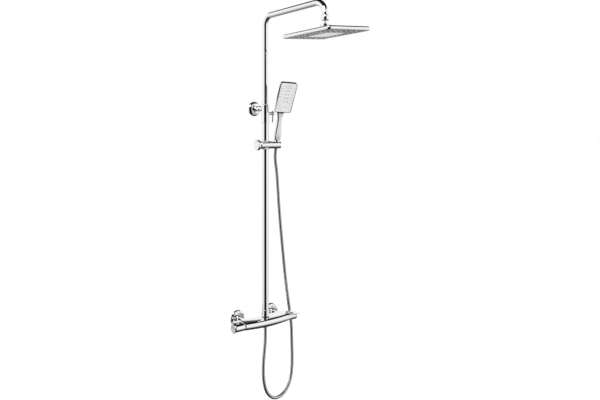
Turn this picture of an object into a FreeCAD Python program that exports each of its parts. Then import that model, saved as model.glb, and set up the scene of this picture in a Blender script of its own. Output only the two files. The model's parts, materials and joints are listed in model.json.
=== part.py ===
import FreeCAD, Part
import math
import os
import re
import Sketcher

# Wall-mounted rainfall shower column, in millimetres.
# +Z is up and -Y faces the user. The origin is the point of the wall midway between the two inlets.

SIZES = {
    # wall side
    "inlet_spacing": 150,
    "inlet_thread_radius": 10.4,
    "inlet_thread_length": 16,
    "escutcheon_radius": 30,
    "escutcheon_depth": 9,
    "union_neck_radius": 13,
    "union_nut_flats": 30,
    "union_nut_length": 15,
    "bar_drop": 6,
    # bar valve
    "riser_out": 76,
    "bar_length": 202,
    "bar_top": 19,
    "bar_under": 16.5,
    "bar_under_end": 15,
    "bar_crease_drop": 5.4,
    "nose_top_slope": 0.25,
    "nose_under_slope": 0.72,
    "bar_front": 36,
    "bar_bow": 9,
    "bar_back": 18,
    "bar_flat_back": 14,
    "handle_length": 40,
    "handle_gap": 0.5,
    "handle_front_of_riser": 6.5,
    "cartridge_radius": 13,
    "cartridge_length": 42,
    "spindle_radius": 4,
    "spindle_length": 20,
    "gallery_radius": 4,
    "port_radius": 8,
    "flow_handle_radius": 15,
    "flow_handle_length": 31,
    "flow_lever_width": 24,
    "flow_lever_reach": 50,
    "flow_lever_thickness": 4,
    "stop_button_radius": 4,
    "temperature_cap_radius": 16,
    # riser
    "riser_radius": 12.5,
    "riser_wall": 1.2,
    "riser_nut_radius": 14.2,
    "riser_nut_height": 24,
    "upper_radius": "=riser_radius - riser_wall - 0.8",
    "upper_wall": 1.2,
    "upper_insertion": 200,
    "sleeve_height": 727,
    "sleeve_length": 68,
    "sleeve_radius": 14.3,
    "arm_height": 1118,
    "arm_reach": 345,
    "riser_bend": 34,
    "arm_bend": 44,
    "arm_drop": 50,
    "slide_clearance": 0.3,
    # height lock, measured up the sleeve
    "lock_rise": 36,
    "lock_stem_radius": 5.2,
    "lock_stem_length": 21,
    "lock_pin_radius": 2.5,
    "lock_pin_length": 42,
    # wall bracket, measured up the sleeve
    "bracket_rise": 54,
    "bracket_radius": 27,
    "bracket_rod_radius": 9.5,
    # overhead
    "head_drop": 82,
    "head_width": 178,
    "head_length": 242,
    "head_thickness": 14,
    "head_corner": 14,
    "head_plate_drop": 22,
    "ball_radius": 9.5,
    "neck_radius": 4.2,
    "head_nut_radius": 13,
    "head_nut_height": 18,
    "hub_radius": 15,
    "head_roll": 4.5,
    # slider
    "slider_height": 647,
    "slider_left": 24,
    "slider_right": 22,
    "slider_half_depth": 16.5,
    "slider_half_height": 14,
    "liner_wall": 0.8,
    "knob_radius": 19.5,
    "knob_length": 16,
    "holder_width": 39,
    "holder_gap": 0.4,
    "pivot_insertion": 6.5,
    "handset_out": 48.5,
    # handset
    "handset_lean": 12.5,
    "handset_turn": 14,
    "cone_low_radius": 10,
    "cone_top_radius": 11.2,
    "cone_below": 17,
    "cone_above": 9,
    "handle_width": 24,
    "handle_depth": 17,
    "handle_top_width": 27,
    "handle_top_depth": 12,
    "handset_reach": 126,
    "handset_front": 22,
    "spray_button_up": 15,
    "handset_head_width": 64,
    "handset_head_height": 119,
    "handset_head_thickness": 9,
    "handset_head_tilt": 16.5,
    "handset_head_corner": 8,
    # hose
    "hose_radius": 6.5,
    "hose_nut_radius": 11,
}

doc = FreeCAD.newDocument("shower_column")
sheet = doc.addObject("Spreadsheet::Sheet", "sizes")
for row, (alias, size) in enumerate(SIZES.items(), start=1):
    sheet.set(f"A{row}", alias)
    sheet.set(f"B{row}", str(size))
    sheet.setAlias(f"B{row}", alias)
doc.recompute()

SUBPARTS = []
ALONG_X = FreeCAD.Rotation(FreeCAD.Vector(0, 0, 1), FreeCAD.Vector(1, 0, 0))
ALONG_Y = FreeCAD.Rotation(FreeCAD.Vector(0, 0, 1), FreeCAD.Vector(0, 1, 0))
UPRIGHT = FreeCAD.Rotation()


def formula(text):
    """Point every size named in a formula at the sheet."""
    return re.sub(r"[a-z]\w*", lambda word: "sizes." * (word.group() in SIZES) + word.group(), str(text))


def number(text):
    return float(sheet.evalExpression(str(text)))


def add(kind, name, **sizes):
    """Add a Part object whose named properties follow formulas in the sizes."""
    item = doc.addObject(kind, name)
    for prop, text in sizes.items():
        item.setExpression(prop, formula(text))
    return item


def place(item, x=0, y=0, z=0, turn=UPRIGHT):
    item.Placement = FreeCAD.Placement(FreeCAD.Vector(), turn)
    for axis, text in zip("xyz", (x, y, z)):
        item.setExpression(f"Placement.Base.{axis}", formula(text))
    return item


def rod(radius, length, x=0, y=0, z=0, turn=UPRIGHT, name="rod"):
    return place(add("Part::Cylinder", name, Radius=radius, Height=length), x, y, z, turn)


def ball(radius, x=0, y=0, z=0, name="ball"):
    return place(add("Part::Sphere", name, Radius=radius), x, y, z)


def block(length, width, height, x=0, y=0, z=0, name="block"):
    """A box centred on x and y, standing on z."""
    item = add("Part::Box", name, Length=length, Width=width, Height=height)
    return place(item, f"{x} - ({length}) / 2", f"{y} - ({width}) / 2", z)


def join(items, name="joined"):
    item = doc.addObject("Part::MultiFuse", name)
    item.Shapes = items
    return item


def cut(base, tools, name="cut"):
    item = doc.addObject("Part::Cut", name)
    item.Base = base
    item.Tool = tools[0] if len(tools) == 1 else join(tools, f"{name}_tools")
    return item


def common(first, second, name="common"):
    item = doc.addObject("Part::MultiCommon", name)
    item.Shapes = [first, second]
    return item


def subpart(item, label):
    """Name a finished piece; its label is its node's name."""
    item.Label = label
    SUBPARTS.append(item)
    return item


def plane_of(body, role):
    return next(plane for plane in body.Origin.OriginFeatures if plane.Role == role)


def arc_between(start, end, radius):
    """A minor arc from start to end that turns left for a positive radius and right for a negative one."""
    chord = end - start
    half = chord.Length / 2
    left = FreeCAD.Vector(-chord.y, chord.x, 0).normalize()
    reach = math.sqrt(max(radius * radius - half * half, 0))
    centre = (start + end) / 2 + left * math.copysign(reach, radius)
    first, last = (start, end) if radius > 0 else (end, start)
    angles = [math.atan2(point.y - centre.y, point.x - centre.x) for point in (first, last)]
    return Part.ArcOfCircle(Part.Circle(centre, FreeCAD.Vector(0, 0, 1), abs(radius)), *angles)


def outline(body, role, corners, closed=True, offset=None):
    """Sketch an outline whose corners (x, y) or (x, y, radius of the arc to the next) are formulas."""
    sketch = body.newObject("Sketcher::SketchObject", "outline")
    sketch.AttachmentSupport = [(plane_of(body, role), "")]
    sketch.MapMode = "FlatFace"
    if offset is not None:
        sketch.setExpression("AttachmentOffset.Base.z", formula(offset))
    points = [FreeCAD.Vector(number(corner[0]), number(corner[1]), 0) for corner in corners]
    starts = []
    edge_count = len(corners) if closed else len(corners) - 1
    for index in range(edge_count):
        start, end = points[index], points[(index + 1) % len(points)]
        bend = corners[index][2:]
        if bend:
            radius = number(bend[0])
            edge = sketch.addGeometry(arc_between(start, end, radius), False)
            starts.append((edge, 1, 2) if radius > 0 else (edge, 2, 1))
            size = sketch.addConstraint(Sketcher.Constraint("Radius", edge, abs(radius)))
            sketch.renameConstraint(size, f"bend{index}")
            sketch.setExpression(f"Constraints.bend{index}", formula(f"abs({bend[0]})"))
        else:
            edge = sketch.addGeometry(Part.LineSegment(start, end), False)
            starts.append((edge, 1, 2))
    for index in range(edge_count - 1 + closed):
        edge, _, end = starts[index]
        following, start, _ = starts[(index + 1) % edge_count]
        sketch.addConstraint(Sketcher.Constraint("Coincident", edge, end, following, start))
    for index, corner in enumerate(corners):
        edge, start, end = starts[min(index, edge_count - 1)]
        vertex = start if index < edge_count else end
        for kind, letter, text in (("DistanceX", "x", corner[0]), ("DistanceY", "y", corner[1])):
            size = sketch.addConstraint(Sketcher.Constraint(kind, -1, 1, edge, vertex, number(text)))
            sketch.renameConstraint(size, f"{letter}{index}")
            sketch.setExpression(f"Constraints.{letter}{index}", formula(text))
    return sketch


def turned(name, corners, x=0, y=0, z=0, turn=UPRIGHT):
    """A piece of revolution about its own Z; corners are (radius, height) formulas."""
    body = doc.addObject("PartDesign::Body", name)
    sketch = outline(body, "XZ_Plane", corners)
    revolution = body.newObject("PartDesign::Revolution", "revolution")
    revolution.Profile = sketch
    revolution.ReferenceAxis = (sketch, ["V_Axis"])
    revolution.Angle = 360
    return place(body, x, y, z, turn)


def slab(name, corners, thickness, x=0, y=0, z=0, turn=UPRIGHT):
    """A flat piece of even thickness; corners are formulas in its own XY plane."""
    body = doc.addObject("PartDesign::Body", name)
    pad = body.newObject("PartDesign::Pad", "pad")
    pad.Profile = outline(body, "XY_Plane", corners)
    pad.setExpression("Length", formula(thickness))
    return place(body, x, y, z, turn)


def lofted(name, sections, role="YZ_Plane"):
    """A solid through outlines (corners, offset from the plane)."""
    body = doc.addObject("PartDesign::Body", name)
    sketches = [outline(body, role, corners, offset=offset) for corners, offset in sections]
    loft = body.newObject("PartDesign::AdditiveLoft", "loft")
    loft.Profile = sketches[0]
    loft.Sections = sketches[1:]
    return body


def rounded_rectangle(width, length, radius, x=0, y=0):
    """Corners of a rounded rectangle centred on x, y, run anticlockwise."""
    corners = []
    for side_x, side_y in ((1, -1), (1, 1), (-1, 1), (-1, -1)):
        edge_x = f"{x} + {side_x} * ({width}) / 2"
        edge_y = f"{y} + {side_y} * ({length}) / 2"
        along_x = (f"{edge_x} - {side_x} * ({radius})", edge_y)
        along_y = (edge_x, f"{edge_y} - {side_y} * ({radius})")
        first, second = (along_x, along_y) if side_x * side_y < 0 else (along_y, along_x)
        corners += [(*first, radius), second]
    return corners


def washer(name, outer, inner, thickness, x=0, y=0, z=0, turn=UPRIGHT):
    corners = [(inner, 0), (outer, 0), (outer, thickness), (inner, thickness)]
    return turned(name, corners, x, y, z, turn)


# ---------------------------------------------------------------- bar valve

RISER_Y = "-riser_out"
BAR_Z = "-bar_drop"
HANDLE_Y = "-riser_out - handle_front_of_riser"
SIDES = (("hot", -1), ("cold", 1))


def bar_block(name, under, back, bow):
    """A stretch of the bar about the riser's axis; bow lists (place along it, share of the bow).

    The section has a gently falling top and a chamfered underside. Its front is two flat faces
    that meet in a nose and follow the bow.
    """
    first, last = bow[0][0], bow[-1][0]
    plan = [(first, f"{back} + 40"), *((at, f"-bar_front + bar_bow * {share}") for at, share in bow),
            (last, f"{back} + 40")]

    def leaning(face, slope, height, rise):
        body = doc.addObject("PartDesign::Body", f"{name}_{face}")
        pad = body.newObject("PartDesign::Pad", "pad")
        pad.Profile = outline(body, "XY_Plane", plan, offset="-2")
        pad.UseCustomVector = True
        pad.Direction = FreeCAD.Vector(0, 0, rise)
        pad.setExpression("Direction.y", formula(slope))
        pad.AlongSketchNormal = True
        pad.setExpression("Length", formula(height))
        return body

    body = doc.addObject("PartDesign::Body", name)
    pad = body.newObject("PartDesign::Pad", "pad")
    pad.Profile = outline(body, "YZ_Plane", [
        ("bar_flat_back", "bar_top"),
        (back, "bar_top - 6"),
        (back, f"-({under}) + 8"),
        (f"{back} - 8", f"-({under})"),
        ("-port_radius - 2", f"-({under})"),
        ("-bar_front", f"-({under}) + 3"),
        ("-bar_front", "bar_top - bar_crease_drop"),
    ], offset=first)
    pad.setExpression("Length", formula(f"({last}) - ({first})"))
    front = join([leaning("above", "nose_top_slope", "bar_top + 8", 1),
                  leaning("below", "nose_under_slope", f"{under} + 8", -1)])
    return place(common(body, front), 0, RISER_Y, BAR_Z)


def valve_body():
    shell = bar_block("bar", "bar_under", "bar_back", [
        ("-bar_length / 2", 1),
        ("-bar_length / 4", 0.25),
        ("0", 0),
        ("bar_length / 4", 0.25),
        ("bar_length / 2", 1),
    ])
    bores = [
        rod("cartridge_radius", "cartridge_length", "-bar_length / 2", HANDLE_Y, BAR_Z, ALONG_X),
        rod("cartridge_radius", "cartridge_length", "bar_length / 2 - cartridge_length", HANDLE_Y, BAR_Z, ALONG_X),
        rod("gallery_radius", "bar_length - cartridge_length", "-(bar_length - cartridge_length) / 2",
            HANDLE_Y, BAR_Z, ALONG_X),
        rod("port_radius", "bar_top - 8", 0, RISER_Y, f"{BAR_Z} + 8"),
        rod("port_radius", "bar_under - 8", 0, RISER_Y, f"{BAR_Z} - bar_under"),
    ]
    for _, side in SIDES:
        bores.append(rod("port_radius", "bar_back + 4", f"{side} * inlet_spacing / 2",
                         f"{RISER_Y} - 4", BAR_Z, ALONG_Y))
    return subpart(cut(shell, bores), "valve_body")


def inlet_tail(name, side):
    """The flanged tail that screws into the bar and is gripped by the union nut."""
    corners = [
        ("port_radius - 2", "bar_back - 8"),
        ("port_radius", "bar_back - 8"),
        ("port_radius", "bar_back + 5"),
        ("port_radius + 3", "bar_back + 5"),
        ("port_radius + 3", "bar_back + 8"),
        ("port_radius - 2", "bar_back + 8"),
    ]
    tail = turned("tail", corners, f"{side} * inlet_spacing / 2", RISER_Y, BAR_Z, ALONG_Y)
    return subpart(tail, f"inlet_tail_{name}")


def check_strainer(name, side):
    """The dished strainer gasket between the tail and the union."""
    disc = washer("strainer", "port_radius + 3", "2", "2", f"{side} * inlet_spacing / 2",
                  f"{RISER_Y} + bar_back + 8", BAR_Z, ALONG_Y)
    return subpart(disc, f"inlet_strainer_{name}")


def s_union(name, side):
    """The eccentric union: a wall thread, an offset body and a threaded neck for the nut."""
    x = f"{side} * inlet_spacing / 2"
    neck_face = f"{RISER_Y} + bar_back + 10"
    thread = rod("inlet_thread_radius", "inlet_thread_length + 20", x, "-20", 0, ALONG_Y)
    wrist = rod("union_neck_radius + 1.5", "28", x, "-28", 0, ALONG_Y)
    neck = rod("union_neck_radius", "riser_out - bar_back - 10 - 20", x, neck_face, BAR_Z, ALONG_Y)
    water = [
        rod("6", "inlet_thread_length + 24", x, "-24", 0, ALONG_Y),
        rod("7", "riser_out - bar_back - 10 - 22", x, neck_face, BAR_Z, ALONG_Y),
    ]
    return subpart(cut(join([thread, wrist, neck]), water), f"s_union_{name}")


def union_nut(name, side):
    """A hexagon nut that draws the tail's flange onto the union."""
    prism = add("Part::Prism", "hexagon", Circumradius="union_nut_flats / sqrt(3)", Height="union_nut_length")
    prism.Polygon = 6
    x = f"{side} * inlet_spacing / 2"
    front = f"{RISER_Y} + bar_back + 1.5"
    place(prism, x, front, BAR_Z, ALONG_Y)
    crown = turned("crown", [
        ("0", "0"), ("union_nut_flats / 2", "0"), ("union_nut_flats / 2 + 2.6", "2.6"),
        ("union_nut_flats / 2 + 2.6", "union_nut_length - 2.6"), ("union_nut_flats / 2", "union_nut_length"),
        ("0", "union_nut_length"),
    ], x, front, BAR_Z, ALONG_Y)
    holes = [
        rod("port_radius + 0.2", "union_nut_length", x, front, BAR_Z, ALONG_Y),
        rod("union_neck_radius + 0.1", "union_nut_length", x, f"{RISER_Y} + bar_back + 4.9", BAR_Z, ALONG_Y),
    ]
    return subpart(cut(common(prism, crown), holes), f"union_nut_{name}")


def escutcheon(name, side):
    """The domed cover plate that slides over the union to the wall."""
    rosette = turned("rosette", [
        ("escutcheon_radius - 2", "0"), ("escutcheon_radius", "0"), ("escutcheon_radius", "2", "7"),
        ("escutcheon_radius - 7", "escutcheon_depth"), ("union_neck_radius + 2", "escutcheon_depth"),
        ("union_neck_radius + 2", "escutcheon_depth - 1.5"), ("escutcheon_radius - 8", "escutcheon_depth - 1.5"),
    ], f"{side} * inlet_spacing / 2", 0, 0, FreeCAD.Rotation(FreeCAD.Vector(1, 0, 0), 90))
    return subpart(rosette, f"escutcheon_{name}")


def cartridge(label, side):
    """A ribbed cartridge seated in one end of the bar, with a bore for its spindle."""
    length = "cartridge_length - 1"
    corners = [
        ("spindle_radius + slide_clearance", "8"),
        ("spindle_radius + slide_clearance", length),
        ("cartridge_radius - 0.05", length),
        ("cartridge_radius - 0.05", f"{length} - 10"),
        ("cartridge_radius - 2", f"{length} - 12"),
        ("cartridge_radius - 2", f"{length} - 22"),
        ("cartridge_radius - 0.05", f"{length} - 24"),
        ("cartridge_radius - 0.05", "6"),
        ("cartridge_radius - 4", "0.5"),
        ("0", "0.5"),
        ("0", "8"),
    ]
    turn = ALONG_X if side > 0 else FreeCAD.Rotation(FreeCAD.Vector(0, 0, 1), FreeCAD.Vector(-1, 0, 0))
    piece = turned("cartridge", corners, f"{side} * (bar_length / 2 - cartridge_length)", HANDLE_Y, BAR_Z, turn)
    return subpart(piece, label)


def spindle(label, side):
    """The splined shaft that a handle turns in its cartridge."""
    inner = "bar_length / 2 - spindle_length"
    start = inner if side > 0 else "-bar_length / 2 - handle_gap - 12"
    return subpart(rod("spindle_radius", "spindle_length + handle_gap + 12", start, HANDLE_Y, BAR_Z, ALONG_X), label)


HANDLE_START = "bar_length / 2 + handle_gap"


def temperature_handle():
    """The left handle: the bar's own section carried on, with a socket for the spindle and the stop button."""
    body = bar_block("grip", "bar_under_end", "bar_back - 2", [
        (f"-({HANDLE_START}) - handle_length + 3", 1),
        (f"-({HANDLE_START})", 1),
    ])
    inner_end = f"-({HANDLE_START})"
    socket = rod("spindle_radius", "12.1", f"{inner_end} - 12", HANDLE_Y, BAR_Z, ALONG_X)
    well = rod("stop_button_radius + slide_clearance", "12", f"{inner_end} - handle_length / 2",
               HANDLE_Y, f"{BAR_Z} + bar_top - 9")
    recess = rod("12", "6", f"{inner_end} - handle_length + 2.9", HANDLE_Y, BAR_Z, ALONG_X)
    return subpart(cut(body, [socket, well, recess]), "temperature_handle")


def temperature_cap():
    """The dished end disc of the temperature handle, plugged into its recess."""
    corners = [
        ("0", "0"), ("11.9", "0"), ("11.9", "5.5"), ("temperature_cap_radius", "5.5"),
        ("temperature_cap_radius", "7.4", "1.5"), ("temperature_cap_radius - 1.5", "8.5"), ("11", "8.5"), ("0", "7"),
    ]
    toward_left = FreeCAD.Rotation(FreeCAD.Vector(0, 0, 1), FreeCAD.Vector(-1, 0, 0))
    start = f"-({HANDLE_START}) - handle_length + 3 + 5.5"
    return subpart(turned("cap", corners, start, HANDLE_Y, BAR_Z, toward_left), "temperature_cap")


def stop_button():
    """The safety stop: a small domed button on the flat of the handle, over its return spring."""
    x = f"-({HANDLE_START}) - handle_length / 2"
    base = f"{BAR_Z} + bar_top"
    corners = [
        ("0", "-3.5"), ("stop_button_radius", "-3.5"), ("stop_button_radius", "1.2", "1.5"),
        ("stop_button_radius - 1.5", "2.4"), ("0", "2.4"),
    ]
    button = subpart(turned("button", corners, x, HANDLE_Y, base), "temperature_stop_button")
    spring = subpart(washer("spring", "2.6", "1.6", "4.6", x, HANDLE_Y, f"{base} - 8.6"), "stop_button_spring")
    return button, spring


def flow_handle():
    """The right handle: a round grip with a flat blade laid across its top."""
    grip = turned("grip", [
        ("0", "0"), ("flow_handle_radius", "0"), ("flow_handle_radius", "flow_handle_length - 3.5", "1.5"),
        ("flow_handle_radius - 1.5", "flow_handle_length - 2"), ("0", "flow_handle_length - 2"),
    ], HANDLE_START, HANDLE_Y, BAR_Z, ALONG_X)
    socket = rod("spindle_radius", "12.1", f"{HANDLE_START} - 0.1", HANDLE_Y, BAR_Z, ALONG_X)
    seat = block("flow_lever_width", "2 * flow_handle_radius", "6", f"{HANDLE_START} + flow_handle_length / 2",
                 HANDLE_Y, f"{BAR_Z} + flow_handle_radius - 1.5")
    recess = rod("10", "6", f"{HANDLE_START} + flow_handle_length - 7", HANDLE_Y, BAR_Z, ALONG_X)
    return subpart(cut(grip, [socket, seat, recess]), "flow_handle")


def flow_lever():
    """The blade on the flow handle, reaching forward of it."""
    blade = slab("blade", rounded_rectangle("flow_lever_width", "flow_lever_reach", "5"), "flow_lever_thickness",
                 f"{HANDLE_START} + flow_handle_length / 2", f"{HANDLE_Y} + 10 - flow_lever_reach / 2",
                 f"{BAR_Z} + flow_handle_radius - 1.5")
    return subpart(blade, "flow_lever")


def flow_cap():
    corners = [("0", "0"), ("9.9", "0"), ("9.9", "5"), ("14", "5"), ("14", "6.2"), ("13", "7"), ("0", "7")]
    return subpart(turned("cap", corners, f"{HANDLE_START} + flow_handle_length - 7", HANDLE_Y, BAR_Z, ALONG_X),
                   "flow_handle_cap")


# ---------------------------------------------------------------- riser

SLEEVE_Z = "sleeve_height - bar_drop"
LOWER_TOP = f"{SLEEVE_Z} + lock_rise - 12"
BAR_TOP = f"{BAR_Z} + bar_top"
UPPER_FOOT = f"{SLEEVE_Z} + sleeve_length - upper_insertion"


def riser_nut():
    """The collar that holds the riser on the bar."""
    corners = [
        ("riser_radius + 0.1", "0"), ("riser_nut_radius", "0"), ("riser_nut_radius", "riser_nut_height - 1.5", "1.5"),
        ("riser_nut_radius - 1.4", "riser_nut_height"), ("riser_radius + 0.1", "riser_nut_height"),
    ]
    return subpart(turned("collar", corners, 0, RISER_Y, BAR_TOP), "riser_nut")


def riser_seal():
    return subpart(washer("seal", "riser_radius - riser_wall - 0.1", "5", "3", 0, RISER_Y, f"{BAR_TOP}"), "riser_seal")


def lower_riser_tube():
    length = f"{LOWER_TOP} - ({BAR_TOP})"
    inner = "riser_radius - riser_wall"
    return subpart(washer("tube", "riser_radius", inner, length, 0, RISER_Y, BAR_TOP), "lower_riser_tube")


def height_lock_sleeve():
    """The sleeve over the joint of the two tubes; the bracket and the height lock fasten to it."""
    corners = [
        ("riser_radius + 0.05", "0"), ("sleeve_radius - 0.8", "0"), ("sleeve_radius", "0.8"),
        ("sleeve_radius", "sleeve_length - 1.5", "1.5"), ("sleeve_radius - 1.5", "sleeve_length"),
        ("upper_radius + slide_clearance", "sleeve_length"),
        ("upper_radius + slide_clearance", "lock_rise - 11.9"), ("riser_radius + 0.05", "lock_rise - 11.9"),
    ]
    sleeve = turned("sleeve", corners, 0, RISER_Y, SLEEVE_Z)
    boss = rod("lock_stem_radius + 1", "sleeve_radius + 1.5", 0, RISER_Y, f"{SLEEVE_Z} + lock_rise", ALONG_X)
    bore = rod("upper_radius + slide_clearance", "sleeve_length", 0, RISER_Y, f"{SLEEVE_Z} + lock_rise - 11")
    screw_hole = rod("3 + slide_clearance", "sleeve_radius + 4", 0, RISER_Y, f"{SLEEVE_Z} + lock_rise", ALONG_X)
    rod_hole = rod("4", "sleeve_radius + 1", 0, RISER_Y, f"{SLEEVE_Z} + bracket_rise", ALONG_Y)
    return subpart(cut(join([sleeve, boss]), [bore, screw_hole, rod_hole]), "height_lock_sleeve")


def upper_riser_arm():
    """The upper tube: up inside the sleeve, over a tight bend, out along the arm and down at its end."""
    top = "arm_height - bar_drop"
    path = [
        ("0", UPPER_FOOT),
        ("0", f"{top} - riser_bend", "riser_bend"),
        ("-riser_bend", top),
        ("-arm_reach + arm_bend", top, "arm_bend"),
        ("-arm_reach", f"{top} - arm_bend"),
        ("-arm_reach", f"{top} - arm_drop"),
    ]
    body = doc.addObject("PartDesign::Body", "bent_tube")
    spine = outline(body, "YZ_Plane", path, closed=False)
    for kind, radius in (("PartDesign::AdditivePipe", "upper_radius"),
                         ("PartDesign::SubtractivePipe", "upper_radius - upper_wall")):
        ring = body.newObject("Sketcher::SketchObject", "ring")
        ring.AttachmentSupport = [(plane_of(body, "XY_Plane"), "")]
        ring.MapMode = "FlatFace"
        ring.setExpression("AttachmentOffset.Base.z", formula(UPPER_FOOT))
        ring.addGeometry(Part.Circle(FreeCAD.Vector(), FreeCAD.Vector(0, 0, 1), number(radius)), False)
        ring.addConstraint(Sketcher.Constraint("Coincident", 0, 3, -1, 1))
        size = ring.addConstraint(Sketcher.Constraint("Radius", 0, number(radius)))
        ring.renameConstraint(size, "tube_radius")
        ring.setExpression("Constraints.tube_radius", formula(radius))
        pipe = body.newObject(kind, "pipe")
        pipe.Profile = ring
        pipe.Spine = (spine, [f"Edge{index}" for index in range(1, len(path))])
    place(body, 0, RISER_Y, 0)
    return subpart(body, "upper_riser_arm")


def tube_foot():
    """The bush on the foot of the upper tube, with a groove that carries two slide seals."""
    bore = "upper_radius - upper_wall - 3"
    inner = "riser_radius - riser_wall - slide_clearance"
    corners = [
        (bore, "-14"), (inner, "-14"), (inner, "-11"), (f"{inner} - 2", "-11"), (f"{inner} - 2", "-4"),
        (inner, "-4"), (inner, "-0.3"), ("upper_radius - upper_wall - slide_clearance", "-0.3"),
        ("upper_radius - upper_wall - slide_clearance", "10"), (bore, "10"),
    ]
    foot = subpart(turned("foot", corners, 0, RISER_Y, UPPER_FOOT), "tube_foot_bush")
    rings = [washer("ring", f"{inner} + 0.1", f"{inner} - 1.95", "3", 0, RISER_Y, f"{UPPER_FOOT} - {low}")
             for low in (10.9, 7.1)]
    return foot, subpart(join(rings), "slide_seals")


def height_lock():
    """The lock screw with its cylindrical head, and the tommy bar that hangs through it."""
    z = f"{SLEEVE_Z} + lock_rise"
    tip = "upper_radius + slide_clearance + 0.2"
    screw = rod("3", f"sleeve_radius + 3 - ({tip})", tip, RISER_Y, z, ALONG_X)
    stem = turned("stem", [
        ("0", "0"), ("lock_stem_radius - 0.6", "0"), ("lock_stem_radius", "0.6"),
        ("lock_stem_radius", "lock_stem_length - 9"), ("lock_stem_radius + 1.4", "lock_stem_length - 8"),
        ("lock_stem_radius + 1.4", "lock_stem_length - 0.8"), ("lock_stem_radius + 0.6", "lock_stem_length"),
        ("0", "lock_stem_length"),
    ], "sleeve_radius + 2", RISER_Y, z, ALONG_X)
    pin_x = "sleeve_radius + 2 + lock_stem_length - 5"
    hole = rod("lock_pin_radius", "20", pin_x, RISER_Y, f"{z} - 10")
    pin = turned("pin", [
        ("0", "0"), ("lock_pin_radius - 0.8", "0"), ("lock_pin_radius", "0.8"),
        ("lock_pin_radius", "lock_pin_length - 0.8"), ("lock_pin_radius - 0.8", "lock_pin_length"),
        ("0", "lock_pin_length"),
    ], pin_x, RISER_Y, f"{z} + 9 - lock_pin_length")
    return subpart(cut(join([screw, stem]), [hole]), "lock_screw"), subpart(pin, "lock_pin")


def wall_bracket():
    """The wall plate, its cover flange, the screws and the rod that carries the sleeve."""
    z = f"{SLEEVE_Z} + bracket_rise"
    to_user = FreeCAD.Rotation(FreeCAD.Vector(1, 0, 0), 90)
    plate = rod("20", "4", 0, "-4", z, ALONG_Y)
    boss = rod("9.4", "10", 0, "-14", z, ALONG_Y)
    screw_places = [(side * 14.5, height) for side, height in ((-1, 0), (1, 0))]
    holes = [rod("2.6", "6", x, "-5", f"{z} + {height}", ALONG_Y) for x, height in screw_places]
    plate = subpart(cut(join([plate, boss]), holes), "bracket_plate")
    flange = turned("flange", [
        ("bracket_radius - 2", "0"), ("bracket_radius", "0"), ("bracket_radius", "3", "5"),
        ("bracket_radius - 5", "9.5"), ("bracket_rod_radius + 0.1", "11"), ("bracket_rod_radius + 0.1", "9"),
        ("bracket_radius - 6", "8"),
    ], 0, 0, z, to_user)
    length = "riser_out - sleeve_radius"
    neck = turned("neck", [
        ("0", "14"), ("bracket_rod_radius", "14"), ("bracket_rod_radius", f"{length} - 20"),
        ("bracket_rod_radius - 2.5", f"{length} - 17"), ("bracket_rod_radius - 2.5", f"{length} - 13", "-1.5"),
        ("bracket_rod_radius - 1", f"{length} - 11.5"), ("bracket_rod_radius - 1", f"{length} + 4"),
        ("0", f"{length} + 4"),
    ], 0, 0, z, to_user)
    collar = washer("collar", "bracket_rod_radius", "9.45", "9", 0, "-14", z, ALONG_Y)
    spigot = rod("3.95", "8", 0, f"{RISER_Y} + sleeve_radius - 3", z, ALONG_Y)
    sleeve_room = rod("sleeve_radius", "40", 0, RISER_Y, f"{z} - 20")
    bracket_rod = subpart(join([cut(join([neck, collar]), [sleeve_room]), spigot]), "bracket_rod")
    screws = []
    for x, height in screw_places:
        shank = rod("2.5", "4", x, "-4", f"{z} + {height}", ALONG_Y)
        head = turned("screw_head", [("0", "0"), ("4.2", "0"), ("3.4", "1.6"), ("1.2", "2.2"), ("0", "2.2")],
                      x, "-4", f"{z} + {height}", to_user)
        screws.append(join([shank, head]))
    return plate, subpart(flange, "bracket_flange"), bracket_rod, subpart(join(screws), "bracket_screws")


# ---------------------------------------------------------------- overhead

HEAD_Y = "-riser_out - arm_reach"
BALL_Z = "arm_height - bar_drop - head_drop"
HEAD_TURN = FreeCAD.Rotation(FreeCAD.Vector(0, 1, 0), -number("head_roll"))
PLATE_TOP = "-head_plate_drop + head_thickness / 2"


def at_ball(item, turn=UPRIGHT):
    return place(item, 0, HEAD_Y, BALL_Z, turn)


def swivel_ball():
    """The ball nipple: a bored ball on a neck that plugs into the end of the arm."""
    shoulder = "head_drop - arm_drop - 14"
    sphere = ball("ball_radius", 0, HEAD_Y, BALL_Z)
    stem = turned("stem", [
        ("0", "0"), ("neck_radius", "0"), ("neck_radius", shoulder), ("11", shoulder), ("11", f"{shoulder} + 3"),
        ("upper_radius - upper_wall - 0.05", f"{shoulder} + 3"), ("upper_radius - upper_wall - 0.05", "head_drop - arm_drop + 8"),
        ("0", "head_drop - arm_drop + 8"),
    ], 0, HEAD_Y, BALL_Z)
    water = rod("2.4", "head_drop", 0, HEAD_Y, f"{BALL_Z} - ball_radius")
    return subpart(cut(join([sphere, stem]), [water]), "swivel_ball")


def head_nut():
    """The barrel nut that covers the end of the arm and the shoulder of the ball nipple."""
    low = "head_drop - arm_drop - 15"
    corners = [
        ("neck_radius + 3", low), ("head_nut_radius - 1.8", low), ("head_nut_radius - 0.6", f"{low} + 1.6", "34"),
        ("head_nut_radius - 0.6", f"{low} + head_nut_height - 1.6"),
        ("head_nut_radius - 1.8", f"{low} + head_nut_height"), ("upper_radius + 0.1", f"{low} + head_nut_height"),
        ("upper_radius + 0.1", f"{low} + 4.1"), ("11.1", f"{low} + 4.1"), ("11.1", f"{low} + 0.9"),
        ("neck_radius + 3", f"{low} + 0.9"),
    ]
    return subpart(at_ball(turned("nut", corners)), "head_nut")


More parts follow.
